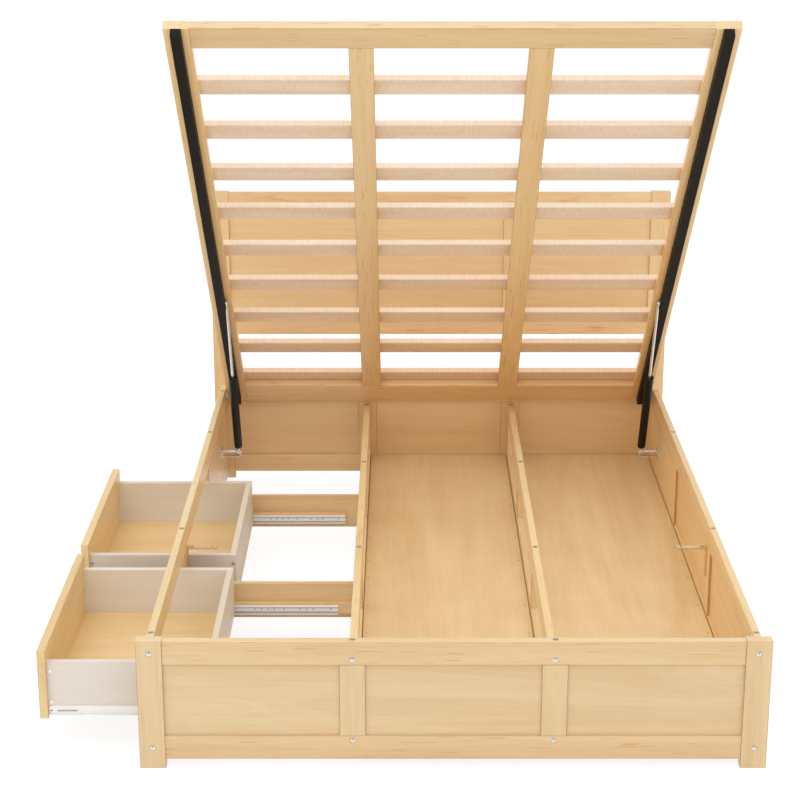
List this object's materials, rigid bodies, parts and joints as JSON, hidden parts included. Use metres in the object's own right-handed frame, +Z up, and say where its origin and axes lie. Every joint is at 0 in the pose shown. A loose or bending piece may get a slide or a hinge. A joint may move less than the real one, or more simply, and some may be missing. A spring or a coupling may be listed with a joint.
{
  "type": "platform bed",
  "caption": "Wooden storage bed: panelled frame and headboard, slatted frame lifting on gas struts over divided storage, and side drawers on slides.",
  "frame": {"origin": "middle of the footprint on the floor, with the frame lifted and the drawers pulled out as pictured", "axes": "+X across the bed, away from the drawers; +Y from the foot to the headboard; +Z up"},
  "size_m": [1.6924, 2.006, 1.6445],
  "materials": {
    "frame_wood": "satin",
    "slat_wood": "matte",
    "drawer_liner": "matte",
    "bright_steel": "satin",
    "black_steel": "satin",
    "brass_plate": "satin"
  },
  "bodies": {
    "bed_box": {"head_posts": "frame_wood", "headboard_top_rail": "frame_wood", "headboard_lower_rail": "frame_wood", "headboard_stiles": "frame_wood", "headboard_panels": "frame_wood", "head_box_top_rail": "frame_wood", "head_box_bottom_rail": "frame_wood", "head_box_stiles": "frame_wood", "head_box_panels": "frame_wood", "foot_posts": "frame_wood", "foot_top_rail": "frame_wood", "foot_bottom_rail": "frame_wood", "foot_stiles": "frame_wood", "foot_panels": "frame_wood", "left_top_rail": "frame_wood", "left_bottom_rail": "frame_wood", "left_stiles": "frame_wood", "left_head_panel": "frame_wood", "right_top_rail": "frame_wood", "right_bottom_rail": "frame_wood", "right_stiles": "frame_wood", "right_head_panel": "frame_wood", "right_panels": "frame_wood", "divider_left_rails": "frame_wood", "divider_left_posts": "frame_wood", "divider_right_rails": "frame_wood", "divider_right_posts": "frame_wood", "bottom_panel_middle": "frame_wood", "bottom_panel_right": "frame_wood", "bottom_cleats": "frame_wood", "cross_rails": "frame_wood", "slide_battens": "frame_wood", "cabinet_slides": "bright_steel", "hinge_pins": "bright_steel", "angle_rests": "brass_plate", "strut_brackets": "bright_steel", "strut_pins": "bright_steel", "frame_bolts": "bright_steel"},
    "lift_frame": {"lift_side_rails": "frame_wood", "lift_middle_rails": "frame_wood", "lift_foot_rail": "frame_wood", "lift_head_rail": "frame_wood", "slats": "slat_wood", "lift_channels": "black_steel"},
    "drawer_foot": {"drawer_foot_front": "frame_wood", "drawer_foot_walls": "drawer_liner", "drawer_foot_back": "drawer_liner", "drawer_foot_base": "frame_wood", "drawer_foot_runners": "bright_steel"},
    "drawer_head": {"drawer_head_front": "frame_wood", "drawer_head_walls": "drawer_liner", "drawer_head_back": "drawer_liner", "drawer_head_base": "frame_wood", "drawer_head_runners": "bright_steel"},
    "cylinder_left": {"strut_cylinder_left": "black_steel"},
    "cylinder_right": {"strut_cylinder_right": "black_steel"},
    "rod_left": {"strut_rod_left": "bright_steel"},
    "rod_right": {"strut_rod_right": "bright_steel"}
  },
  "joints": [
    {"name": "lift_hinge", "type": "hinge", "parent": "bed_box", "child": "lift_frame", "pos_m": [0.12125, 0.955, 0.2908], "axis": [1, 0, 0], "range_deg": [0, 44.3], "stiffness_Nm_per_rad": 150, "springref_deg": -68.75},
    {"name": "strut_left_pivot", "type": "hinge", "parent": "bed_box", "child": "cylinder_left", "pos_m": [-0.51175, 0.756, 0.1678], "axis": [1, 0, 0], "range_deg": [0, 50.79]},
    {"name": "strut_left_stroke", "type": "slide", "parent": "cylinder_left", "child": "rod_left", "axis": [0, -0.444, 0.896], "range_m": [-0.1662, 0]},
    {"name": "strut_right_pivot", "type": "hinge", "parent": "bed_box", "child": "cylinder_right", "pos_m": [0.75425, 0.756, 0.1678], "axis": [1, 0, 0], "range_deg": [0, 50.79]},
    {"name": "strut_right_stroke", "type": "slide", "parent": "cylinder_right", "child": "rod_right", "axis": [0, -0.444, 0.896], "range_m": [-0.1662, 0]},
    {"name": "drawer_foot_slide", "type": "slide", "parent": "bed_box", "child": "drawer_foot", "axis": [1, 0, 0], "range_m": [0, 0.264]},
    {"name": "drawer_head_slide", "type": "slide", "parent": "bed_box", "child": "drawer_head", "axis": [1, 0, 0], "range_m": [0, 0.264]}
  ],
  "couplings": [
    {"joint": "strut_left_pivot", "follows": "lift_hinge", "ratio": 1.1453},
    {"joint": "strut_left_stroke", "follows": "lift_hinge", "m_per_rad": -0.21473},
    {"joint": "strut_right_pivot", "follows": "lift_hinge", "ratio": 1.1453},
    {"joint": "strut_right_stroke", "follows": "lift_hinge", "m_per_rad": -0.21473}
  ]
}
